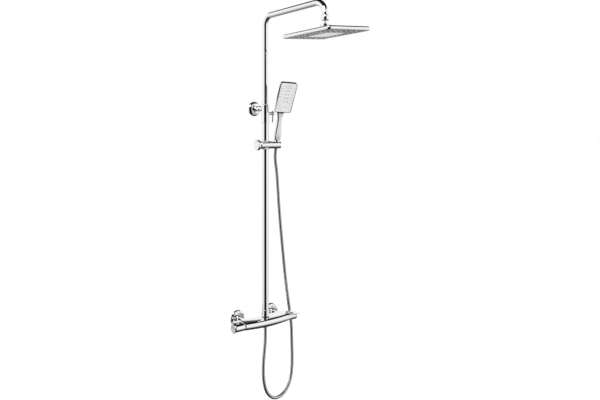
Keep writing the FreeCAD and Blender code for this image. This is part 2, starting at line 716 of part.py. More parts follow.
def spherical_ring(label, inner, outer):
    """A thin liner round the lower half of the ball, cut from two concentric spheres."""
    ring = cut(ball(outer), [ball(inner)])
    zone = rod("20", "4.4", 0, 0, "-9")
    return subpart(at_ball(common(ring, zone)), label)


def head_collar():
    """The ring that screws onto the hub and keeps the ball in."""
    ring = rod("hub_radius", "6.8", 0, 0, "-0.8")
    collar = cut(ring, [ball("ball_radius + 0.4"), rod("ball_radius + 2.7", "0.9", 0, 0, "-0.8")])
    return subpart(at_ball(collar, HEAD_TURN), "head_collar")


def head_shell():
    """The thin upper shell of the rain head with its hub, hollow for the water and open below."""
    plate = slab("plate", rounded_rectangle("head_width", "head_length", "head_corner"), "head_thickness - 1",
                 0, 0, f"{PLATE_TOP} - head_thickness + 1")
    hub = turned("hub", [
        ("0", f"{PLATE_TOP} - 1"), ("hub_radius + 12", f"{PLATE_TOP} - 0.2"), ("hub_radius + 12", f"{PLATE_TOP}"),
        ("hub_radius", f"{PLATE_TOP} + 5"), ("hub_radius", "-0.9"), ("0", "-0.9"),
    ])
    hollow = slab("hollow", rounded_rectangle("head_width - 6", "head_length - 6", "head_corner - 3"),
                  "head_thickness - 4", 0, 0, f"{PLATE_TOP} - head_thickness + 0.9")
    socket = ball("ball_radius + 2.5")
    water = rod("6", "head_plate_drop", 0, 0, f"{PLATE_TOP} - 6")
    shell = cut(join([plate, hub]), [hollow, socket, water])
    return subpart(at_ball(shell, HEAD_TURN), "head_shell")


FACE_LOW = f"{PLATE_TOP} - head_thickness"


def head_face():
    """The grey nozzle plate that closes the head, with a raised outlined field at its centre."""
    face = slab("face", rounded_rectangle("head_width - 6.4", "head_length - 6.4", "head_corner - 3.2"), "3",
                0, 0, f"{FACE_LOW} + 1")
    field = slab("field", rounded_rectangle("head_width * 0.4", "head_length * 0.42", "12"), "1.2",
                 0, 0, FACE_LOW)
    return subpart(at_ball(join([face, field]), HEAD_TURN), "head_face")


HEAD_ROWS = 12
HEAD_COLUMNS = 8


def head_nozzles():
    """Rows of soft nozzles, standing out of the face outside its central field and inside it."""
    cones = []
    for row in range(HEAD_ROWS):
        for column in range(HEAD_COLUMNS):
            x = f"(head_width - 26) * {column / (HEAD_COLUMNS - 1) - 0.5:.4f}"
            y = f"(head_length - 26) * {row / (HEAD_ROWS - 1) - 0.5:.4f}"
            cones.append(rod("1.5", "2", x, y, f"{FACE_LOW} - 1"))
    return subpart(at_ball(join(cones), HEAD_TURN), "head_nozzles")


# ---------------------------------------------------------------- slider

SLIDER_Z = "slider_height - bar_drop"
HOLDER_X = "handset_out"
LINER_RADIUS = "riser_radius + slide_clearance + liner_wall"


def slider_liner():
    """The plastic liner that runs on the riser, flanged above and below the housing."""
    half = "slider_half_height + 1.4"
    inner = "riser_radius + slide_clearance"
    corners = [
        (inner, f"-({half})"), (f"{LINER_RADIUS} + 1", f"-({half})"), (f"{LINER_RADIUS} + 1", f"-({half}) + 1"),
        (LINER_RADIUS, f"-({half}) + 1"), (LINER_RADIUS, f"{half} - 1"), (f"{LINER_RADIUS} + 1", f"{half} - 1"),
        (f"{LINER_RADIUS} + 1", half), (inner, half),
    ]
    return subpart(turned("liner", corners, 0, RISER_Y, SLIDER_Z), "slider_liner")


def stadium_bar(start, length, name):
    """A bar along X with a flattened-oval section, deeper than it is high."""
    body = doc.addObject("PartDesign::Body", name)
    pad = body.newObject("PartDesign::Pad", "pad")
    corners = rounded_rectangle("2 * slider_half_depth", "2 * slider_half_height", "slider_half_height - 0.5")
    pad.Profile = outline(body, "YZ_Plane", corners, offset=start)
    pad.setExpression("Length", formula(length))
    return place(body, 0, RISER_Y, SLIDER_Z)


def slider_housing():
    """The cross-piece that turns about the liner, bored for the clamp screw and the holder's pivot."""
    bar = stadium_bar("-slider_left", "slider_left + slider_right", "housing")
    bore = rod(f"{LINER_RADIUS} + slide_clearance", "40", 0, RISER_Y, f"{SLIDER_Z} - 20")
    screw = rod("3 + slide_clearance", "slider_left", "-slider_left", RISER_Y, SLIDER_Z, ALONG_X)
    pivot = rod("4 + slide_clearance", "pivot_insertion + 0.6", "slider_right - pivot_insertion - 0.5",
                RISER_Y, SLIDER_Z, ALONG_X)
    return subpart(cut(bar, [bore, screw, pivot]), "slider_housing")


def clamp_knob():
    """The round knob at the left end and the screw that it carries."""
    face = "-slider_left - 0.5 - knob_length"
    knob = turned("knob", [
        ("0", "1.2"), ("knob_radius - 5", "0.4"), ("knob_radius - 1.5", "0", "1.5"), ("knob_radius", "1.5"),
        ("knob_radius", "knob_length - 6"), ("slider_half_height - 1", "knob_length - 4"),
        ("slider_half_height - 1", "knob_length"), ("0", "knob_length"),
    ], face, RISER_Y, SLIDER_Z, ALONG_X)
    thread = rod("3", "knob_length + 4", f"{face} + 4", RISER_Y, SLIDER_Z, ALONG_X)
    hole = rod("3", "knob_length - 4 + 0.1", f"{face} + 4", RISER_Y, SLIDER_Z, ALONG_X)
    tip = f"-({LINER_RADIUS}) - 0.5"
    length = f"({tip}) - ({face} + 4)"
    thread.setExpression("Height", formula(length))
    return subpart(cut(knob, [hole]), "clamp_knob"), subpart(thread, "clamp_screw")


def handset_turn(with_turn=True):
    lean = FreeCAD.Rotation(FreeCAD.Vector(1, 0, 0), number("handset_lean"))
    turn = FreeCAD.Rotation(FreeCAD.Vector(0, 0, 1), -number("handset_turn") if with_turn else 0)
    return lean.multiply(turn)


def stand(item, label, with_turn=True):
    """Lean a finished piece into the holder."""
    return subpart(place(item, HOLDER_X, RISER_Y, SLIDER_Z, handset_turn(with_turn)), label)


def handset_holder():
    """The cradle: a short bar with a conical bore, open on its outer side for the hose."""
    lean = handset_turn(False)
    body = stadium_bar("slider_right + holder_gap", "holder_width", "holder")
    cone = add("Part::Cone", "cone", Radius1="cone_low_radius + 0.2", Radius2="cone_top_radius + 1.1", Height="44")
    slot = block("holder_width", "2 * hose_radius + 1.4", "60", "holder_width / 2", 0, "-30")
    cradle = place(join([place(cone, 0, 0, "-22"), slot]), HOLDER_X, RISER_Y, SLIDER_Z, lean)
    start = "slider_right - pivot_insertion"
    length = "pivot_insertion + holder_gap + 2.5"
    socket = rod("4", f"{length} + 0.1", start, RISER_Y, SLIDER_Z, ALONG_X)
    pivot = rod("4", length, start, RISER_Y, SLIDER_Z, ALONG_X)
    return subpart(cut(body, [cradle, socket]), "handset_holder"), subpart(pivot, "holder_pivot")


def hose_cone_nut():
    """The conical nut that joins the hose to the handset and rests in the holder."""
    cone = turned("cone_nut", [
        ("5", "-cone_below"), ("cone_low_radius - 1", "-cone_below"), ("cone_low_radius", "-cone_below + 1"),
        ("cone_top_radius", "cone_above - 0.5"), ("cone_top_radius - 0.5", "cone_above"),
        ("8.5", "cone_above"), ("8.5", "-2.2"), ("5", "-2.2"),
    ])
    return stand(cone, "hose_cone_nut", False)


def handset_head_turn():
    return FreeCAD.Rotation(FreeCAD.Vector(1, 0, 0), number("handset_head_tilt"))


def on_handset_head(item, depth, height, across=0, turn=UPRIGHT):
    """Place an item on the handset's tilted head; depth runs back from its front face, height up it."""
    tilt = "handset_head_tilt * 1 deg"
    y = f"-handset_front + ({depth}) * cos({tilt}) - ({height}) * sin({tilt})"
    z = f"handset_reach + ({depth}) * sin({tilt}) + ({height}) * cos({tilt})"
    return place(item, across, y, z, handset_head_turn().multiply(turn))


def head_back(height):
    """How far forward the back of the tilted head lies, at a height above the handle."""
    tilt = "handset_head_tilt * 1 deg"
    return f"-handset_front + handset_head_thickness / cos({tilt}) - {height} * tan({tilt})"


def head_slab(name, width, height, corner, thickness, depth, lift="0"):
    """A rounded plate standing in the plane of the handset's head, its front face at the given depth."""
    body = doc.addObject("PartDesign::Body", name)
    pad = body.newObject("PartDesign::Pad", "pad")
    corners = rounded_rectangle(width, height, corner, 0, "handset_head_height / 2")
    pad.Profile = outline(body, "XZ_Plane", corners)
    pad.setExpression("Length", formula(thickness))
    return on_handset_head(body, f"{depth} + {thickness}", lift)


def handset_shell():
    """Tail, neck, tapered handle and the back of the head as one shell, bored for the water."""
    tail = rod("8.2", "17", 0, 0, "-1.8")
    neck = rod("10.4", "11", 0, 0, "cone_above + 0.3")
    middle = "handset_reach * 0.5"
    handle = lofted("handle", [
        (rounded_rectangle("handle_width - 4", "handle_depth - 2", "6"), "15"),
        (rounded_rectangle("handle_width", "handle_depth", "5"), "26"),
        (rounded_rectangle("handle_width - 1", "handle_depth - 2", "5"), middle),
        (rounded_rectangle("handle_top_width", "handle_top_depth", "4.5"), "handset_reach - 6"),
    ], "XY_Plane")
    shoulder = lofted("shoulder", [
        (rounded_rectangle("handle_top_width", "handle_top_depth", "4.5"), "handset_reach - 6"),
        (rounded_rectangle("handle_top_width + 4", "10", "4.5", 0, f"{head_back(14)} + 4"), "handset_reach + 14"),
        (rounded_rectangle("handle_top_width + 4", "4", "1.9", 0, f"{head_back(42)} + 0.5"), "handset_reach + 42"),
    ], "XY_Plane")
    head = head_slab("head", "handset_head_width", "handset_head_height", "handset_head_corner",
                     "handset_head_thickness", "0")
    pocket = head_slab("pocket", "handset_head_width - 4", "handset_head_height - 4", "handset_head_corner - 2",
                       "handset_head_thickness - 2", "-0.1")
    bore = rod("4", "handset_reach - 6", 0, 0, "-2")
    shell = cut(join([tail, neck, handle, shoulder, head]), [pocket, bore])
    return stand(shell, "handset_shell")


def handset_face():
    """The spray plate set into the head, with a window for the button."""
    plate = head_slab("face", "handset_head_width - 4.4", "handset_head_height - 4.4", "handset_head_corner - 2.2",
                      "2.5", "0.2")
    window = head_slab("window", "22.6", "12.6", "2.3", "4", "-0.5", "spray_button_up - handset_head_height / 2")
    return stand(cut(plate, [window]), "handset_face")


def nozzle_group(label, radius, places):
    """Round nozzles (across, up) standing 0.8 out of the spray plate."""
    dots = [on_handset_head(rod(radius, "1"), "-0.8", up, across, ALONG_Y) for across, up in places]
    return stand(join(dots), label)


def handset_nozzles():
    """Fine nozzles in two columns down each side of the spray plate and two rows across its top."""
    sides = [(side * (20 + 6.5 * column), 16 + row * 11.5)
             for side in (-1, 1) for column in (0, 1) for row in range(8)]
    top = [(across, 98 + 6 * row) for row in (0, 1) for across in (-10.5, -3.5, 3.5, 10.5)]
    return nozzle_group("handset_nozzles", "1.1", sides + top)


def massage_nozzles():
    """The larger nozzles, two wide and four high, at the centre of the spray plate."""
    return nozzle_group("massage_nozzles", "2.2", [(across, 44 + row * 14) for across in (-6, 6) for row in range(4)])


def spray_button():
    """The rectangular push button low on the head, recessed behind for its spring."""
    lift = "spray_button_up - handset_head_height / 2"
    button = head_slab("button", "22", "12", "2", "4.2", "-1.2", lift)
    recess = on_handset_head(rod("3.3", "3"), "1.2", "spray_button_up", 0, ALONG_Y)
    coil, core = (on_handset_head(rod(radius, "5.4"), "1.4", "spray_button_up", 0, ALONG_Y) for radius in ("3", "2.2"))
    return stand(cut(button, [recess]), "spray_button"), stand(cut(coil, [core]), "spray_button_spring")


# ---------------------------------------------------------------- hose

OUTLET_LOW = f"{BAR_Z} - bar_under - 13"

# the hose's route from the bar's outlet, round its hanging loop and up behind the bar to the holder
HOSE_ROUTE = [
    (0, 0, -80), (-7.8, -2, -130), (-12.6, -3.2, -184), (-7.8, -2, -236), (10.7, 2.7, -280),
    (48.5, 12.4, -311), (97, 24.8, -313), (133.8, 34.2, -284), (148.4, 37.9, -236), (150.3, 38.4, -180),
    (147.4, 37.6, -118), (145.5, 37, -60), (136, 35, -2), (122, 31.5, 66), (109, 28, 140),
    (98, 24.5, 216), (87.5, 21.5, 292), (77.5, 18.5, 366), (70.5, 16.5, 434), (65, 15, 494),
    (59.5, 13.5, 548),
]


def rounded_route(points):
    """Straight runs and tangent arcs through a route, each arc as large as its two runs allow."""
    edges = []
    start = points[0]
    for before, corner, after in zip(points, points[1:], points[2:]):
        into = (corner - before).normalize()
        out = (after - corner).normalize()
        half_turn = into.getAngle(out) / 2
        reach = 0.45 * min((corner - before).Length, (after - corner).Length)
        radius = reach / math.tan(half_turn)
        print(f"hose arc radius {radius:.0f}")
        first, last = corner - into * reach, corner + out * reach
        inward = (out - into).normalize()
        middle = corner + inward * radius * (1 / math.cos(half_turn) - 1)
        edges.append(Part.LineSegment(start, first).toShape())
        edges.append(Part.Arc(first, middle, last).toShape())
        start = last
    edges.append(Part.LineSegment(start, points[-1]).toShape())
    return edges


def tube_along(edges, radius):
    path = Part.Wire(edges)
    start = edges[0].Vertexes[0].Point
    section = Part.Wire(Part.makeCircle(radius, start, edges[0].Vertexes[1].Point - start))
    tube = path.makePipeShell([section], True, False)
    ratio = tube.Volume / (math.pi * radius ** 2 * path.Length)
    print(f"hose stretch {path.Length:.0f} long, volume over section times length {ratio:.4f}")
    return tube


def hose():
    """The hose in two stretches that meet halfway along the run at the bottom of its loop."""
    lean = math.radians(number("handset_lean"))
    up_the_handle = FreeCAD.Vector(0, -math.sin(lean), math.cos(lean))
    pivot = FreeCAD.Vector(number(HOLDER_X), number(RISER_Y), number(SLIDER_Z))
    end = pivot - up_the_handle * number("cone_below")
    outlet = FreeCAD.Vector(0, number(RISER_Y), number(OUTLET_LOW))
    route = [FreeCAD.Vector(x, number(RISER_Y) + y, z) for x, y, z in HOSE_ROUTE]
    points = [outlet] + route + [end - up_the_handle * 30, end]
    edges = rounded_route(points)
    low = min(range(len(points)), key=lambda index: points[index].z)
    run = 2 * (low - 1)
    ends = [vertex.Point for vertex in edges[run].Vertexes]
    bottom = (ends[0] + ends[1]) / 2
    lower = edges[:run] + [Part.LineSegment(ends[0], bottom).toShape()]
    upper = [Part.LineSegment(bottom, ends[1]).toShape()] + edges[run + 1:]
    for name, stretch in (("hose_lower", lower), ("hose_upper", upper)):
        piece = doc.addObject("Part::Feature", name)
        piece.Shape = tube_along(stretch, number("hose_radius"))
        subpart(piece, name)


def hose_outlet():
    """The nut and ferrule that fix the hose under the bar, with its flat washer."""
    nut = turned("outlet_nut", [
        ("hose_radius - 1", "0"), ("hose_radius + 0.8", "0"), ("hose_radius + 1.4", "4"), ("hose_nut_radius", "5"),
        ("hose_nut_radius", "12.2"), ("hose_nut_radius - 0.8", "13"), ("hose_radius - 1", "13"),
    ], 0, RISER_Y, OUTLET_LOW)
    spigot = washer("spigot", "port_radius - 0.05", "5", "8", 0, RISER_Y, f"{BAR_Z} - bar_under")
    return subpart(nut, "hose_outlet_nut"), subpart(spigot, "hose_outlet_nipple")


# ---------------------------------------------------------------- build and write

def build():
    valve_body()
    for name, side in SIDES:
        inlet_tail(name, side)
        check_strainer(name, side)
        s_union(name, side)
        union_nut(name, side)
        escutcheon(name, side)
    cartridge("thermostatic_cartridge", -1)
    cartridge("diverter_cartridge", 1)
    spindle("temperature_spindle", -1)
    spindle("flow_spindle", 1)
    temperature_handle()
    temperature_cap()
    stop_button()
    flow_handle()
    flow_lever()
    flow_cap()
    riser_nut()
    riser_seal()
    lower_riser_tube()
    height_lock_sleeve()
    upper_riser_arm()
    tube_foot()
    height_lock()
    wall_bracket()
    swivel_ball()
    head_nut()
    spherical_ring("ball_seat", "ball_radius + 0.3", "ball_radius + 1.1")
    spherical_ring("ball_seal", "ball_radius + 1.4", "ball_radius + 2.2")
    head_collar()
    head_shell()
    head_face()
    head_nozzles()
    slider_liner()
    slider_housing()
    clamp_knob()
    handset_holder()
    hose_cone_nut()
    handset_shell()
    handset_face()
    handset_nozzles()
    massage_nozzles()
    spray_button()
    hose_outlet()
    hose()


def write():
    doc.recompute()
    for item in doc.Objects:
        faults = [state for state in item.State if state in ("Invalid", "Error")]
        if faults:
            raise RuntimeError(f"{item.Label} ({item.Name}) is {faults}")
    os.makedirs("parts", exist_ok=True)
    for item in SUBPARTS:
        shape = item.Shape
        if shape.isNull() or not shape.isValid() or not shape.Solids:
            raise RuntimeError(f"{item.Label} has no valid solid")
        shape.exportStep(f"parts/{item.Label}.step")
    print(f"{len(SUBPARTS)} sub-parts written")


build()
write()
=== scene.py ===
import json
import math

import bmesh
import bpy
from mathutils import Matrix, Vector


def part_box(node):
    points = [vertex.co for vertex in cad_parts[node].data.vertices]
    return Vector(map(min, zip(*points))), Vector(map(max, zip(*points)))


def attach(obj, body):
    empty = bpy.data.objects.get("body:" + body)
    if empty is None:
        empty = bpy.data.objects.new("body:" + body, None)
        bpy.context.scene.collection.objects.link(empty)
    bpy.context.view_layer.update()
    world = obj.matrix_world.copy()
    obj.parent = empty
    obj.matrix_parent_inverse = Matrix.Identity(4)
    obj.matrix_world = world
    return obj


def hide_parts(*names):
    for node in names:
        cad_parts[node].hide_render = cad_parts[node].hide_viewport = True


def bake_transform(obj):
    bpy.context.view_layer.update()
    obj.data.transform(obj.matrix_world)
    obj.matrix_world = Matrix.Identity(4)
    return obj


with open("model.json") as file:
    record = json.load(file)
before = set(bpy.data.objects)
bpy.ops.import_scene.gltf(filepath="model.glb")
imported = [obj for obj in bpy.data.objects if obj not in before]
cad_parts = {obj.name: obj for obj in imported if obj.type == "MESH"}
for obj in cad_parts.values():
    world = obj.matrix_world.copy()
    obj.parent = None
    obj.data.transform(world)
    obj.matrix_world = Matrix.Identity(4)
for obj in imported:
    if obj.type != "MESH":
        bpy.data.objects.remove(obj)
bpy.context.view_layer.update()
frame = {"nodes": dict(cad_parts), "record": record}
BODY_OF = {node: body for body, nodes in frame["record"]["behaviour"]["bodies"].items() for node in nodes}

# ---------------------------------------------------------------- camera

lens = bpy.data.cameras.new("camera")
lens.sensor_width = 36
lens.lens = 35.724
lens.shift_x = 0.000333
lens.shift_y = -0.112333
camera = bpy.data.objects.new("camera", lens)
camera.location = (-1.214, -1.8971, 0.7016)
camera.rotation_euler = (math.radians(89.6), 0, math.radians(-37))
bpy.context.scene.collection.objects.link(camera)
bpy.context.scene.camera = camera

# ---------------------------------------------------------------- mesh helpers


def mesh_object(name, bm, smooth=True):
    """Turn a finished bmesh into an object that sits at the origin."""
    mesh = bpy.data.meshes.new(name)
    for face in bm.faces:
        face.smooth = smooth
    bm.to_mesh(mesh)
    bm.free()
    piece = bpy.data.objects.new(name, mesh)
    bpy.context.scene.collection.objects.link(piece)
    return piece


def sharp_by_angle(mesh, degrees=32):
    """Smooth the faces of a mesh and keep its edges crisp past an angle."""
    mesh.shade_smooth()
    mesh.set_sharp_from_angle(angle=math.radians(degrees))


# ---------------------------------------------------------------- materials


def new_material(name):
    material = bpy.data.materials.new(name)
    material.use_nodes = True
    return material, material.node_tree, material.node_tree.nodes["Principled BSDF"]


def coordinates(tree, scale):
    texture = tree.nodes.new("ShaderNodeTexCoord")
    mapping = tree.nodes.new("ShaderNodeMapping")
    mapping.inputs["Scale"].default_value = scale
    tree.links.new(texture.outputs["Object"], mapping.inputs["Vector"])
    return mapping.outputs["Vector"]


def noise(tree, vector, scale, detail=3):
    node = tree.nodes.new("ShaderNodeTexNoise")
    node.inputs["Scale"].default_value = scale
    node.inputs["Detail"].default_value = detail
    tree.links.new(vector, node.inputs["Vector"])
    return node.outputs["Fac"]


def spread(tree, factor, low, high):
    """Map a pattern from 0 to 1 onto a range of values."""
    node = tree.nodes.new("ShaderNodeMapRange")
    node.inputs["To Min"].default_value = low
    node.inputs["To Max"].default_value = high
    tree.links.new(factor, node.inputs["Value"])
    return node.outputs["Result"]


def two_colours(tree, factor, first, second):
    ramp = tree.nodes.new("ShaderNodeValToRGB")
    ramp.color_ramp.elements[0].color = (*first, 1)
    ramp.color_ramp.elements[0].position = 0.35
    ramp.color_ramp.elements[1].color = (*second, 1)
    ramp.color_ramp.elements[1].position = 0.65
    tree.links.new(factor, ramp.inputs["Fac"])
    return ramp.outputs["Color"]


def bumped(tree, shader, height, strength, distance):
    bump = tree.nodes.new("ShaderNodeBump")
    bump.inputs["Strength"].default_value = strength
    bump.inputs["Distance"].default_value = distance
    tree.links.new(height, bump.inputs["Height"])
    tree.links.new(bump.outputs["Normal"], shader.inputs["Normal"])


def metal(name, colour, darker, rough, smoother, fine=90, polish_lines=0.0):
    """Metal with faint uneven polish: the colour and the roughness drift a little over the surface."""
    material, tree, shader = new_material(name)
    shader.inputs["Metallic"].default_value = 1
    place = coordinates(tree, (1, 1, 1))
    drift = noise(tree, place, fine)
    tree.links.new(two_colours(tree, drift, darker, colour), shader.inputs["Base Color"])
    tree.links.new(spread(tree, drift, smoother, rough), shader.inputs["Roughness"])
    if polish_lines:
        grain = noise(tree, coordinates(tree, (1, 1, 60)), 300, 2)
        bumped(tree, shader, grain, polish_lines, 0.00005)
    return material


def moulded(name, colour, darker, rough, speckle, depth):
    """Moulded plastic or rubber with a fine pebbled skin."""
    material, tree, shader = new_material(name)
    place = coordinates(tree, (1, 1, 1))
    mottled = noise(tree, place, 140)
    pebble = noise(tree, place, speckle, 5)
    tree.links.new(two_colours(tree, mottled, darker, colour), shader.inputs["Base Color"])
    tree.links.new(spread(tree, pebble, rough - 0.06, rough + 0.08), shader.inputs["Roughness"])
    shader.inputs["IOR"].default_value = 1.5
    bumped(tree, shader, pebble, 0.25, depth)
    return material


CHROME = metal("bright_chrome", (0.93, 0.935, 0.94), (0.90, 0.905, 0.915), 0.05, 0.025)
PLATED = metal("plated_plastic", (0.91, 0.915, 0.92), (0.87, 0.875, 0.885), 0.09, 0.05, 120)
SATIN = metal("satin_disc", (0.66, 0.665, 0.67), (0.58, 0.585, 0.59), 0.34, 0.26, 60, 0.3)
BRASS = metal("machined_brass", (0.78, 0.62, 0.34), (0.66, 0.50, 0.25), 0.32, 0.2, 150, 0.4)
STEEL = metal("plain_steel", (0.6, 0.6, 0.61), (0.48, 0.48, 0.5), 0.36, 0.22, 150, 0.4)
HOSE = metal("interlocked_hose", (0.60, 0.61, 0.63), (0.50, 0.51, 0.53), 0.2, 0.12, 220)
RUBBER = moulded("nozzle_rubber", (0.30, 0.31, 0.33), (0.24, 0.25, 0.27), 0.6, 900, 0.0001)
# grey plastic painted lighter than its own grey as painted light, making up for the dim light on the
# down-facing spray plate
PLATE_WITH_PAINTED_LIGHT = moulded("grey_spray_plate_with_painted_light", (0.76, 0.765, 0.78), (0.71, 0.715, 0.735), 0.38, 700, 0.00008)
FACE = moulded("pale_spray_face", (0.80, 0.805, 0.815), (0.76, 0.765, 0.775), 0.3, 700, 0.00005)
DOTS = moulded("small_nozzle_rubber", (0.42, 0.425, 0.44), (0.36, 0.365, 0.38), 0.6, 900, 0.0001)
# nozzle rubber lightened with painted light, cancelling the shade the close-set head nozzles cast on each
# other in a grazing view
DOTS_WITH_PAINTED_LIGHT = moulded("nozzle_rubber_with_painted_light", (0.72, 0.725, 0.74), (0.67, 0.675, 0.69), 0.55, 900, 0.0001)
LINER = moulded("pale_liner", (0.62, 0.625, 0.63), (0.55, 0.555, 0.565), 0.45, 700, 0.0001)

FINISHES = {"chrome": CHROME, "chrome_plastic": PLATED, "brass": BRASS, "steel": STEEL,
            "rubber": RUBBER, "grey_plastic": PLATE_WITH_PAINTED_LIGHT, "hose_metal": HOSE}
OWN_FINISH = {"handset_face": FACE, "spray_button": FACE, "handset_nozzles": DOTS, "massage_nozzles": DOTS,
              "head_nozzles": DOTS_WITH_PAINTED_LIGHT, "lock_pin": STEEL,
              "slider_liner": LINER, "tube_foot_bush": LINER,
              "temperature_cap": SATIN, "flow_handle_cap": SATIN}


def finish_with(piece, material):
    piece.data.materials.clear()
    piece.data.materials.append(material)


def finish_in(piece, material):
    """Give a piece made here its material."""
    finish_with(piece, material)


def in_chrome(piece, crisp_past):
    """Finish a solid-looking piece in chrome with its edges crisp past an angle."""
    sharp_by_angle(piece.data, crisp_past)
    finish_in(piece, CHROME)
    return piece


def stand_for(piece, solid):
    """Show a piece in place of a solid and let it move with that solid's body."""
    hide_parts(solid)
    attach(piece, BODY_OF[solid])


for entry in frame["record"]["subparts"]:
    node = frame["nodes"][entry["node"]]
    material = OWN_FINISH.get(entry["node"], FINISHES[entry["material_slot"]])
    for slot in node.material_slots:
        slot.material = material

# ---------------------------------------------------------------- hose

HOSE_DIAMETER = 0.013
RIB_PITCH = 0.0036
RIB_DEPTH = 0.1  # share of the radius lost at each neck between ribs
JOINT_STRETCH = 0.09  # length of hose that spans each joint near the handset
OUTLET_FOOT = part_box("hose_outlet_nut")[0][2]
SOCKET = Vector((0.0485, -0.076, 0.641))  # the middle of the holder's socket
CONE_BELOW_SOCKET = 0.017
STRAIGHT_BELOW_CONE = 0.030
lean = math.radians(12.5)
up_the_handle = Vector((0, -math.sin(lean), math.cos(lean)))
cone_foot = SOCKET - up_the_handle * CONE_BELOW_SOCKET

HOSE_ROUTE = [
    (0, -0.076, OUTLET_FOOT),
    (0, -0.076, -0.080), (-0.0078, -0.078, -0.130), (-0.0126, -0.0792, -0.184), (-0.0078, -0.078, -0.236),
    (0.0107, -0.0733, -0.280), (0.0485, -0.0636, -0.311), (0.097, -0.0512, -0.313), (0.1338, -0.0418, -0.284),
    (0.1484, -0.0381, -0.236), (0.1503, -0.0376, -0.180), (0.1474, -0.0384, -0.118), (0.1455, -0.039, -0.060),
    (0.136, -0.041, -0.002), (0.122, -0.0445, 0.066), (0.109, -0.048, 0.140), (0.098, -0.0515, 0.216),
    (0.0875, -0.0545, 0.292), (0.0775, -0.0575, 0.366), (0.0705, -0.0595, 0.434), (0.065, -0.061, 0.494),
    (0.0595, -0.0625, 0.548), tuple(cone_foot - up_the_handle * STRAIGHT_BELOW_CONE), tuple(cone_foot),
]


def route_points(points):
    """The smooth line of the hose: a NURBS spline with the route's points as its control points."""
    curve = bpy.data.curves.new("hose_route", "CURVE")
    curve.dimensions = "3D"
    spline = curve.splines.new("NURBS")
    spline.points.add(len(points) - 1)
    for point, place in zip(spline.points, points):
        point.co = (*place, 1)
    spline.order_u = 3
    spline.use_endpoint_u = True
    spline.resolution_u = 16
    holder = bpy.data.objects.new("hose_route", curve)
    bpy.context.scene.collection.objects.link(holder)
    mesh = bpy.data.meshes.new_from_object(holder)
    line = [vertex.co.copy() for vertex in mesh.vertices]
    bpy.data.objects.remove(holder)
    return line


def lengths_along(line):
    total = [0.0]
    for before, after in zip(line, line[1:]):
        total.append(total[-1] + (after - before).length)
    return total


def at_length(line, total, distance):
    for index in range(1, len(total)):
        if total[index] >= distance or index == len(total) - 1:
            run = total[index] - total[index - 1]
            share = (distance - total[index - 1]) / run if run else 0
            return line[index - 1].lerp(line[index], max(0.0, min(1.0, share)))


def ribbed_tube(name, line, total, start, end, around=16):
    """A hose stretch whose cover swells and necks once in every pitch of its interlocked spiral."""
    rings = max(2, round((end - start) / (RIB_PITCH / 4)))
    bm = bmesh.new()
    path, previous, side = [], None, Vector((1, 0, 0))
    for ring in range(rings + 1):
        distance = start + (end - start) * ring / rings
        here = at_length(line, total, distance)
        ahead = at_length(line, total, min(total[-1], distance + 0.002))
        behind = at_length(line, total, max(0, distance - 0.002))
        along = (ahead - behind).normalized()
        side = (side - along * side.dot(along)).normalized()
        neck = (0.5 - 0.5 * math.cos(2 * math.pi * distance / RIB_PITCH)) ** 2
        radius = HOSE_DIAMETER / 2 * (1 - RIB_DEPTH * neck)
        turn = Matrix((side, along.cross(side), along)).transposed().to_4x4()
        turn.translation = here
        made = bmesh.ops.create_circle(bm, cap_ends=False, segments=around, radius=radius, matrix=turn)
        circle = made["verts"]
        edges = list({edge for vertex in circle for edge in vertex.link_edges
                      if edge.other_vert(vertex) in circle})
        if previous:
            bmesh.ops.bridge_loops(bm, edges=previous + edges)
        previous = edges
        path.append(here)
    bmesh.ops.holes_fill(bm, edges=[edge for edge in bm.edges if edge.is_boundary], sides=0)
    bmesh.ops.recalc_face_normals(bm, faces=bm.faces)
    piece = mesh_object(name, bm)
    finish_in(piece, HOSE)
    return piece, path


hose_line = route_points(HOSE_ROUTE)
hose_total = lengths_along(hose_line)
whole = hose_total[-1]
lowest = hose_total[min(range(len(hose_line)), key=lambda index: hose_line[index].z)]
# from the loop up, each stretch carries the hose across one joint between the column and the handset
STRETCHES = [
    ("hose_from_outlet", 0, lowest, "column", None, "hose_lower"),
    ("hose_rising", lowest, whole - 3 * JOINT_STRETCH, "column", "slider_liner", "hose_upper"),
    ("hose_below_slider", whole - 3 * JOINT_STRETCH, whole - 2 * JOINT_STRETCH,
     "slider_liner", "slider", "hose_upper"),
    ("hose_below_holder", whole - 2 * JOINT_STRETCH, whole - JOINT_STRETCH, "slider", "holder", "hose_upper"),
    ("hose_to_handset", whole - JOINT_STRETCH, whole, "holder", "hose_end", "hose_upper"),
]
for name, start, end, below, above, solid in STRETCHES:
    stretch, path = ribbed_tube(name, hose_line, hose_total, start, end)
    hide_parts(solid)
    if above:
        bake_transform(stretch)
    else:
        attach(stretch, below)

# ---------------------------------------------------------------- bar valve and temperature handle

(bar_low, bar_high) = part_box("valve_body")
(grip_low, grip_high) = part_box("temperature_handle")
RISER_Y = -0.076
BAR_Z = -0.006
BAR_FRONT, BAR_BOW, BAR_TOP, BAR_HALF = 0.036, 0.009, 0.019, 0.101
RIM_SHRINK = 0.985


def bar_profile(share, back, top):
    """Corners of the bar's section about the riser, each with the radius of its rounding."""
    front = BAR_FRONT - BAR_BOW * share
    under = 0.0165 - 0.0015 * share
    lip = under - 0.002 - 0.0025 * share
    return [
        (0.014, top, 0.002), (back, top - 0.006, 0.004),
        (back, -under + 0.008, 0.006), (back - 0.008, -under, 0.004),
        (-0.008, -under, 0.008), (-front + 0.009, -lip, 0.006), (-front, -0.002, 0.014),
        (-front + 0.004, top - 0.005, 0.012),
    ]


